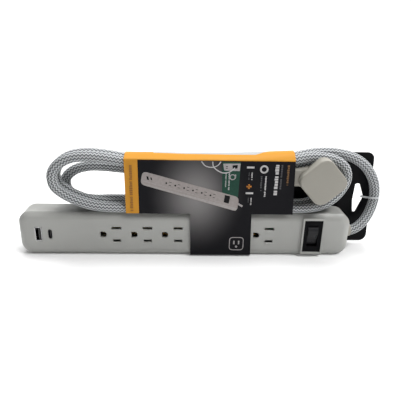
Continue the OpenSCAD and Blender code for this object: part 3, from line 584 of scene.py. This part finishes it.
def print_material():
    """The sleeve's print: black with a grey glow, an orange band and top, a white field on the top."""
    m = Mat("sleeve_print", rough=0.38, Specular_IOR_Level=0.05)
    xyz = m.node("ShaderNodeSeparateXYZ", {0: m.coords()})
    x, y, z = (m.math("MULTIPLY", xyz.outputs[i], 1000.0) for i in range(3))
    dx = m.math("DIVIDE", m.math("SUBTRACT", x, GLOW_AT[0]), GLOW_REACH[0])
    dz = m.math("DIVIDE", m.math("SUBTRACT", z, GLOW_AT[1]), GLOW_REACH[1])
    dist = m.math("SQRT", m.math("ADD", m.math("MULTIPLY", dx, dx), m.math("MULTIPLY", dz, dz)))
    glow = m.ramp(dist, (0.0, (0.25, 0.242, 0.239)), (0.3, (0.17, 0.163, 0.163)),
                  (0.55, (0.075, 0.072, 0.074)), (0.8, (0.02, 0.019, 0.021)),
                  (1.0, (0.007, 0.007, 0.009)), ease="B_SPLINE")
    band = m.math("LESS_THAN", x, BAND_X)
    on_top = m.math("GREATER_THAN", z, PANEL_Z[1] - 0.35)
    # The white field lies behind a line that runs a little forward and then, past X 60, rearward.
    climb = m.math("MULTIPLY", m.math("MAXIMUM", m.math("SUBTRACT", x, 60.0), 0.0), 0.7)
    edge = m.math("ADD", m.math("SUBTRACT", m.math("MULTIPLY", x, -0.055), 4.0), climb)
    rear = m.math("GREATER_THAN", y, edge)
    ends = m.math("MULTIPLY", m.math("GREATER_THAN", x, FIELD_X[0]), m.math("LESS_THAN", x, FIELD_X[1]))
    glued = m.math("GREATER_THAN", y, CARD_Y - 0.8)
    col = m.mix(band, glow, ORANGE)
    col = m.mix(on_top, col, ORANGE)
    col = m.mix(m.math("MULTIPLY", on_top, m.math("MULTIPLY", rear, ends)), col, FIELD_WHITE)
    col = m.mix(glued, col, REAR_BLACK)
    m.color(col)
    return card_gloss(m)


def flat_print(name, color, rough=0.35):
    m = Mat(name, color, rough, Specular_IOR_Level=0.05)
    lo, hi = ([c * s for c in color] for s in (0.92, 1.08))
    m.color(m.ramp(m.noise(500, 2), (0.3, lo), (0.7, hi)))
    return card_gloss(m, rough)


SLEEVE_PRINT = print_material()
CARD_CORE = flat_print("card_core", (0.38, 0.36, 0.33), 0.8)
CARD_BLACK = flat_print("card_black", (0.006, 0.006, 0.007), 0.35)

sleeve_xs = sorted(set([*np.linspace(SLEEVE_X[0], SLEEVE_X[1], 34), BAND_X]))
grid = []
for x in sleeve_xs:
    col = []
    for y, z in sleeve_profile(x):
        w = WAVE * noise.noise(Vector((x * 0.03, y * 0.02, z * 0.03)))
        if z < PANEL_Z[1]:
            col.append((lean(x, z), y + w * (z - PANEL_Z[0]) / 60, z))
        else:
            col.append((x, y, z + w))
    grid.append(col)
sleeve = sheet_piece("sleeve_card", grid, CARD_T, (SLEEVE_PRINT, CARD_CORE, CARD_CORE))


def flap_profile():
    """Outer line of the flap, from under the strip's front shoulder up to the panel."""
    pts = [(PANEL_Y, z) for z in np.linspace(3.0, PANEL_Z[0] + 0.6, 14)]
    low = [(-9.4, 0.08), (-10.2, 0.12), (-11.2, 0.28), (-12.2, 0.75), (-13.0, 1.5), (-13.4, 2.2)]
    return low + pts


grid = []
for x in np.linspace(FLAP_X[0], FLAP_X[1], 14):
    grid.append([(lean(x, z) - (lean(x, PANEL_Z[0]) - x), y + 0.02, z) for y, z in flap_profile()])
flap = sheet_piece("sleeve_flap", grid, CARD_T, (SLEEVE_PRINT, CARD_CORE, CARD_CORE))
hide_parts("sleeve")
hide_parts("sleeve")


# ---------------------------------------------------------------- print on the sleeve

class Print:
    """Flat closed patches on the front panel, each a hair proud of the card."""

    def __init__(self, name, mat, level=1):
        self.name, self.mat = name, mat
        self.depth = 0.06 + 0.05 * level
        self.y = PANEL_Y - self.depth
        self.verts, self.faces = [], []

    def poly(self, pts):
        base, n = len(self.verts), len(pts)
        area = sum(a[0] * b[1] - b[0] * a[1] for a, b in zip(pts, pts[1:] + pts[:1]))
        if area < 0:
            pts = pts[::-1]
        for d in (0, self.depth):
            self.verts += [Vector((x, self.y + d, z)) * MM for x, z in pts]
        self.faces.append(tuple(base + k for k in range(n)))
        self.faces.append(tuple(base + n + k for k in reversed(range(n))))
        for k in range(n):
            j = (k + 1) % n
            self.faces.append((base + j, base + k, base + n + k, base + n + j))

    def bar(self, x0, x1, z0, z1):
        self.poly([(x0, z0), (x1, z0), (x1, z1), (x0, z1)])

    def disc(self, x, z, r, n=20):
        self.poly([(x + r * math.cos(2 * math.pi * k / n), z + r * math.sin(2 * math.pi * k / n))
                   for k in range(n)])

    def ring(self, x, z, r, w, n=32):
        self.line([(x + r * math.cos(2 * math.pi * k / n), z + r * math.sin(2 * math.pi * k / n))
                   for k in range(n + 1)], w)

    def line(self, pts, w):
        for (x0, z0), (x1, z1) in zip(pts, pts[1:]):
            length = math.hypot(x1 - x0, z1 - z0)
            nx, nz = -(z1 - z0) / length * w / 2, (x1 - x0) / length * w / 2
            self.poly([(x0 + nx, z0 + nz), (x0 - nx, z0 - nz), (x1 - nx, z1 - nz), (x1 + nx, z1 + nz)])

    def words(self, x0, x1, z_top, z_low, seed, sizes, gap, word=4.2):
        """A line of print running down the card, as small blocks in words of about so many blocks."""
        rng = np.random.default_rng(seed)
        z, run = z_top, 0
        while z > z_low + 0.4:
            h = rng.uniform(*sizes)
            h = min(h, z - z_low)
            inset = rng.uniform(0, 0.28) * (x1 - x0)
            self.bar(x0 + inset, x1, z - h, z)
            z -= h + gap
            run += 1
            if run >= word + rng.integers(0, 3):
                z -= gap * 2.5
                run = 0

    def done(self, on_back=False):
        """Make the piece, on the sleeve's panel or turned over on to the hang card's back."""
        verts, faces = self.verts, self.faces
        if on_back:
            verts = [Vector((v.x, (PANEL_Y + CARD_Y + HANG_T) * MM - v.y, v.z)) for v in verts]
            faces = [f[::-1] for f in faces]
        ob = new_object(self.name, verts, faces, (self.mat,))
        return ob


def spline(points):
    """A smooth line through points in X and Z."""
    pts, _ = smooth_path([(x, 0, z) for x, z in points], 0.8)
    return [(p[0], p[2]) for p in pts]


def rounded_quad(corners, r):
    """Polygon from four corners, each rounded with r."""
    out = []
    n, per = len(corners), 6
    for i in range(n):
        p, a, b = (Vector(corners[(i + k) % n]) for k in (0, -1, 1))
        da, db = (a - p).normalized(), (b - p).normalized()
        s, e = p + da * r, p + db * r
        for k in range(per + 1):
            t = k / per
            out.append(tuple((1 - t) ** 2 * s + 2 * t * (1 - t) * p + t * t * e))
    return out


INK_STRIP = flat_print("ink_strip", (0.32, 0.29, 0.28))
INK_SIDE = flat_print("ink_strip_side", (0.36, 0.335, 0.325))
INK_DARK = flat_print("ink_dark", (0.01, 0.01, 0.011))
INK_GREEN = flat_print("ink_green", (0.022, 0.062, 0.045))
INK_PALE = flat_print("ink_pale", (0.36, 0.34, 0.34))
INK_WHITE = flat_print("ink_white", (0.50, 0.49, 0.49))
INK_DIM = flat_print("ink_dim", (0.085, 0.085, 0.09))
INK_ORANGE = flat_print("ink_orange", (0.5, 0.2, 0.045))
INK_RUST = flat_print("ink_rust", (0.17, 0.095, 0.045))
INK_BAND = flat_print("ink_band", (0.30, 0.14, 0.04))

# What stands on the panel, at X and Z in mm. A piece with a higher level lies over a lower one.
p = Print("print_green_field", INK_GREEN, 1)
p.poly([(30.2, 92.0), (46.2, 92.0), (45.3, 59.3), (31.0, 59.3)])
p.done()
p = Print("print_receptacle", INK_PALE, 2)
p.poly(rounded_quad([(30.9, 90.4), (46.0, 90.6), (45.6, 83.8), (32.0, 84.2)], 0.6))
p.ring(39.6, 78.2, 2.3, 0.9)
p.done()
p = Print("print_receptacle_dark", INK_DARK, 3)
p.poly(rounded_quad([(39.0, 88.9), (43.6, 89.4), (43.4, 86.2), (39.4, 85.6)], 0.5))
p.bar(33.4, 35.0, 86.0, 86.6)
p.bar(33.4, 35.0, 87.6, 88.2)
p.done()
p = Print("print_cable", INK_WHITE, 4)
p.line(spline([(12.2, 92.0), (15.5, 88.2), (21.3, 86.9), (26.2, 88.6), (28.9, 92.0)]), 0.8)
p.line(spline([(21.8, 92.0), (22.6, 87.6), (25.8, 84.4), (31.0, 82.0), (36.0, 82.6), (38.8, 84.3),
               (41.2, 86.8)]), 0.9)
p.done()
p = Print("print_green_words", INK_WHITE, 2)
p.words(36.0, 37.2, 82.0, 66.0, 3, (0.5, 1.0), 0.3)
p.words(33.2, 34.2, 82.0, 69.0, 4, (0.4, 0.9), 0.3)
p.words(41.6, 42.6, 80.6, 76.4, 5, (0.5, 0.9), 0.3)
p.done()

PICTURE = [(-38.6, 82.7), (-40.9, 70.7), (45.0, 45.7), (46.3, 59.4)]
p = Print("print_strip", INK_STRIP, 3)
p.poly(rounded_quad(PICTURE, 4.2))
p.done()
p = Print("print_strip_side", INK_SIDE, 4)
p.line([(-38.6, 74.0), (44.6, 50.2)], 0.35)
p.poly(rounded_quad([(-38.9, 71.4), (-37.0, 69.9), (43.6, 46.4), (45.2, 49.0)], 0.7))
p.done()
p = Print("print_strip_dark", INK_DARK, 4)
p.poly([(-35.4, 78.2), (-33.7, 77.9), (-33.2, 74.7), (-34.9, 75.1)])
p.poly([(-32.0, 77.2), (-30.9, 77.0), (-30.5, 74.6), (-31.6, 74.9)])
for i in range(6):
    x, z = -18.2 + 7.78 * i, 72.0 - 2.18 * i
    p.disc(x, z, 0.8, 12)
    for ox, oz in ((3.5, 0.75), (3.0, -2.1)):
        p.line([(x + ox - 1.0, z + oz + 0.27), (x + ox + 1.0, z + oz - 0.27)], 0.4)
p.poly(rounded_quad([(33.5, 61.6), (38.3, 60.4), (37.2, 53.4), (32.7, 54.6)], 0.5))
p.done()
p = Print("print_strip_cord", INK_PALE, 3)
p.line([(45.2, 53.4), (49.6, 50.7)], 1.7)
p.done()

p = Print("print_large", INK_WHITE, 2)
p.ring(66.9, 85.6, 3.0, 1.5)
p.bar(51.6, 58.2, 86.4, 88.0)
p.bar(51.9, 58.6, 62.6, 64.2)
p.words(76.6, 79.9, 89.8, 61.0, 11, (1.3, 2.4), 0.45, 4)
p.words(68.2, 69.6, 79.4, 60.2, 12, (0.9, 1.6), 0.35, 7)
p.words(55.8, 57.0, 82.6, 75.6, 13, (0.7, 1.1), 0.3, 3)
p.words(56.4, 57.6, 59.0, 52.0, 14, (0.7, 1.1), 0.3, 3)
p.done()
p = Print("print_small", INK_DIM, 2)
p.words(81.6, 83.2, 89.8, 66.6, 21, (0.9, 1.6), 0.4, 6)
p.words(64.3, 65.8, 79.4, 65.6, 22, (0.9, 1.4), 0.5, 6)
p.words(53.4, 54.4, 82.6, 76.0, 23, (0.6, 1.0), 0.4, 3)
p.words(54.0, 55.0, 59.0, 53.4, 24, (0.6, 1.0), 0.4, 3)
p.done()
p = Print("print_plus", INK_ORANGE, 2)
p.bar(52.3, 56.7, 69.0, 70.3)
p.bar(53.8, 55.2, 67.5, 71.8)
p.done()
p = Print("print_heading", INK_RUST, 2)
p.words(87.2, 89.2, 89.6, 71.2, 31, (1.1, 1.9), 0.4, 9)
p.done()
p = Print("print_band_words", INK_BAND, 2)
p.words(-50.6, -47.8, 88.0, 45.0, 41, (0.8, 1.5), 0.45, 6)
p.done()
p = Print("print_mark", INK_PALE, 2)
p.line([*[(x, z) for x, z in rounded_quad([(39.6, 19.6), (39.6, 6.8), (52.4, 6.8), (52.4, 19.6)], 3.2)],
        (42.8, 19.6)], 0.7)
p.bar(43.2, 44.4, 12.6, 16.2)
p.bar(47.6, 48.8, 12.6, 16.2)
p.disc(46.0, 10.2, 1.1)
p.done()


# ---------------------------------------------------------------- hang card and its tie

def card_outline():
    """Outer line of the hang card, counter-clockwise from its lower left."""
    pts = [(-54.4, 8.0), (-53.2, 4.4), (-50.0, 2.2)]
    pts += [(x, 2.0) for x in np.linspace(-44, 166, 22)]
    cx, cz, r = 174.4, 9.0, 7.0
    pts += [(cx + r * math.sin(a), cz - r * math.cos(a)) for a in np.radians(np.linspace(8, 90, 9))]
    cx, cz = 169.6, 87.3
    pts += [(cx + r * math.cos(a), cz + r * math.sin(a)) for a in np.radians(np.linspace(0, 90, 10))]
    pts += [(x, 94.3) for x in (150, 130, 112, 104)]
    pts += [(100, 93.4), (96.5, 91.6)]
    pts += [(x, 86.1 + 1.43 * rise(x)) for x in np.linspace(93, -54.4, 24)]
    return pts


def hook_outline():
    """The hang hole: tall on its left, pointed to the right, with round corners."""
    tips = [(163.8, 61.6), (163.1, 46), (164.6, 35.4), (169.9, 50), (165.3, 61.6)]
    r = 1.6
    pts = []
    for i, (x, z) in enumerate(tips):
        (ax, az), (bx, bz) = tips[i - 1], tips[(i + 1) % 5]
        a0 = math.atan2(z - az, x - ax) - math.pi / 2
        a1 = math.atan2(bz - z, bx - x) - math.pi / 2
        while a1 < a0:
            a1 += 2 * math.pi
        pts += [(x + r * math.cos(a), z + r * math.sin(a)) for a in np.linspace(a0, a1, 7)]
    return pts


def plate_with_hole(name, outline, hole, y0, y1, mats):
    """A flat plate from y0 to y1 with one hole, in its face and edge materials."""
    bm = bmesh.new()
    loops = []
    for loop in (outline, hole):
        vs = [bm.verts.new(Vector((x, y0, z)) * MM) for x, z in loop]
        loops.append([bm.edges.new((vs[i], vs[(i + 1) % len(vs)])) for i in range(len(vs))])
    bmesh.ops.triangle_fill(bm, use_beauty=True, use_dissolve=False, edges=loops[0] + loops[1])
    bmesh.ops.recalc_face_normals(bm, faces=bm.faces)
    made = bmesh.ops.extrude_face_region(bm, geom=list(bm.faces))
    for v in (g for g in made["geom"] if isinstance(g, bmesh.types.BMVert)):
        v.co.y += (y1 - y0) * MM
    bmesh.ops.recalc_face_normals(bm, faces=bm.faces)
    me = bpy.data.meshes.new(name)
    bm.to_mesh(me)
    bm.free()
    ob = bpy.data.objects.new(name, me)
    scene.collection.objects.link(ob)
    for m in mats:
        me.materials.append(m)
    for poly in me.polygons:
        poly.material_index = 0 if abs(poly.normal.y) > 0.7 else 1
    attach(ob, "strip")
    return ob


hang_card = plate_with_hole("hang_card", card_outline(), hook_outline(), CARD_Y, CARD_Y + HANG_T,
                            (CARD_BLACK, CARD_CORE))
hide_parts("back_card")


def back_print():
    """Generic print on the card's back: rows of blocks for words, four pictograms of an outlet, and
    bars that encode nothing."""
    rng = np.random.default_rng(41)

    def row(p, x0, x1, z, h):
        x = x1
        while x > x0 + 2:
            w = min(rng.uniform(2.5, 8.5), x - x0)
            p.bar(x - w, x, z, z + h)
            x -= w + 1.1

    p = Print("back_headings", INK_PALE)
    row(p, 62, 140, 69.5, 4.2)
    row(p, 84, 140, 62.5, 2.6)
    for i in range(4):
        x = 132 - 24 * i
        p.ring(x, 48, 7.2, 0.6, 36)
        p.line([(x - 3.2, 51), (x - 3.2, 45.4), (x + 3.2, 45.4), (x + 3.2, 51), (x - 3.2, 51)], 0.6)
        p.bar(x - 1.5, x - 0.9, 48.2, 50)
        p.bar(x + 0.9, x + 1.5, 48.2, 50)
        p.disc(x, 46.9, 0.7, 12)
    p.done(True)
    p = Print("back_words", INK_DIM)
    for i in range(4):
        for k in range(2):
            row(p, 126 - 24 * i, 138 - 24 * i, 36.4 - 2.6 * k, 1.1)
    for i in range(8):
        row(p, 4 if i % 4 < 3 else 44, 140, 27.5 - 2.7 * i, 1.1)
    for i in range(11):
        row(p, -46 if i % 4 < 3 else -22, 2, 69.5 - 2.9 * i, 1.1)
    p.done(True)
    p = Print("back_code_field", INK_WHITE)
    p.bar(-46, -8, 8, 29)
    p.done(True)
    p = Print("back_code_bars", INK_DARK, 2)
    x = -43.5
    while x < -11:
        w = rng.choice((0.35, 0.7, 1.05))
        p.bar(x, x + w, 11, 27)
        x += w + rng.choice((0.4, 0.8))
    p.done(True)


back_print()


def clear_material():
    """Clear film: pale, smooth, and partly see-through."""
    m = Mat("clear_plastic", (0.78, 0.8, 0.81), 0.25, Alpha=0.62, IOR=1.45)
    m.color(m.ramp(m.noise(60, 1), (0.3, (0.72, 0.74, 0.75)), (0.7, (0.84, 0.86, 0.87))))
    return m.bump(m.noise(90, 1), 0.0001, 0.3).mat


CLEAR = clear_material()


# ---------------------------------------------------------------- carried-over CAD parts

LOOKS = {
    "front_cover": HOUSING, "back_cover": HOUSING, "housing_screws": STEEL, "rating_label": LABEL,
    "switch_frame": SWITCH, "rocker": ROCKER, "rocker_plunger": STEEL, "plunger_spring": STEEL,
    "contact_lever": BRASS, "centre_terminal": BRASS, "line_terminal": BRASS,
    "hot_busbar": BRASS, "neutral_busbar": BRASS, "ground_busbar": BRASS, "insulation_sheet": FIBRE,
    "usb_board": BOARD, "usb_a_shell": CHROME, "usb_a_tongue": BLACK, "usb_c_shell": USB_C_PAINTED_SHADE,
    "usb_c_tongue": BLACK, "usb_transformer": TAPE, "usb_capacitors": BLACK, "board_screws": STEEL,
    "varistor": VARISTOR, "thermal_fuse": STEEL, "cord_grommet": PLUG, "cord_clamp": CLAMP,
    "clamp_screws": STEEL, "line_blade": BRASS, "neutral_blade": BRASS, "ground_pin": BRASS,
    "card_tie": CLEAR, **LEADS}
BEVELS = {"front_cover": 0.18, "back_cover": 0.18, "switch_frame": 0.2, "rocker": 0.35,
          "line_blade": 0.3, "neutral_blade": 0.3, "usb_board": 0.1, "usb_transformer": 0.3}

for name, ob in nodes.items():
    if name not in LOOKS:
        continue
    ob.data.materials.clear()
    ob.data.materials.append(LOOKS[name])
    shade(ob, 28)
    if name in BEVELS:
        modifier(ob, "BEVEL", width=BEVELS[name] * MM, segments=2, limit_method="ANGLE",
                 angle_limit=math.radians(35), harden_normals=False, miter_outer="MITER_ARC")
        modifier(ob, "WEIGHTED_NORMAL", keep_sharp=False)


# ---------------------------------------------------------------- stage and light

def make_stage():
    """A pale floor that sweeps up into a wall far behind."""
    near, bend, r, height, half, low = -2.5, 1.2, 0.8, 3.0, 3.5, -0.0002
    prof = [(near, 0), (bend, 0)]
    prof += [(bend + r * math.sin(a), r - r * math.cos(a)) for a in np.radians(np.linspace(9, 90, 10))]
    prof += [(bend + r, height)]
    verts = [(x, y, z + low) for y, z in prof for x in (-half, half)]
    faces = [(2 * i, 2 * i + 1, 2 * i + 3, 2 * i + 2) for i in range(len(prof) - 1)]
    m = Mat("stage", (0.80, 0.80, 0.80), 0.9, Emission_Color=(1, 1, 1, 1))
    m.color(m.ramp(m.noise(8, 2), (0.3, grey(0.79)), (0.7, grey(0.81))))
    depth = m.node("ShaderNodeSeparateXYZ", {0: m.coords()}).outputs[1]
    haze = m.math("MULTIPLY", depth, 0.9, clamp=True)
    m.put(m.math("MULTIPLY_ADD", haze, 0.5, 0.08), m.bsdf.inputs["Emission Strength"])
    ob = new_object("stage", verts, faces, (m.mat,), 60, None)


def area_light(name, pos, target, size, power):
    """A rectangular light. Places and sizes are in metres, the power in watts."""
    data = bpy.data.lights.new(name, "AREA")
    data.shape = "RECTANGLE"
    data.size, data.size_y = size
    data.energy = power
    ob = bpy.data.objects.new(name, data)
    ob.location = pos
    ob.rotation_euler = (Vector(target) - Vector(pos)).to_track_quat("-Z", "Y").to_euler()
    scene.collection.objects.link(ob)


def make_world():
    """Soft sky: bright above and behind, dim in front."""
    world = bpy.data.worlds.new("world")
    scene.world = world
    world.use_nodes = True
    tree = world.node_tree
    back = next(n for n in tree.nodes if n.type == "BACKGROUND")
    coord = tree.nodes.new("ShaderNodeTexCoord")
    dot = tree.nodes.new("ShaderNodeVectorMath")
    dot.operation = "DOT_PRODUCT"
    dot.inputs[1].default_value = Vector((0.1, 0.45, 0.88)).normalized()
    ramp = tree.nodes.new("ShaderNodeValToRGB")
    for stop, (pos, v) in zip(ramp.color_ramp.elements, ((0.3, 0.06), (0.85, 1.0))):
        stop.position = pos
        stop.color = (*grey(v), 1)
    tree.links.new(coord.outputs["Generated"], dot.inputs[0])
    tree.links.new(dot.outputs["Value"], ramp.inputs[0])
    tree.links.new(ramp.outputs[0], back.inputs[0])
    back.inputs[1].default_value = 0.6


make_stage()
make_world()
area_light("key", (0.75, -0.4, 1.25), (0.05, 0, 0.06), (0.7, 0.5), 17)
area_light("top", (0.0, 0.35, 1.4), (0, 0, 0.05), (1.0, 0.6), 19)
scene.view_settings.view_transform = "Standard"
scene.view_settings.look = "None"
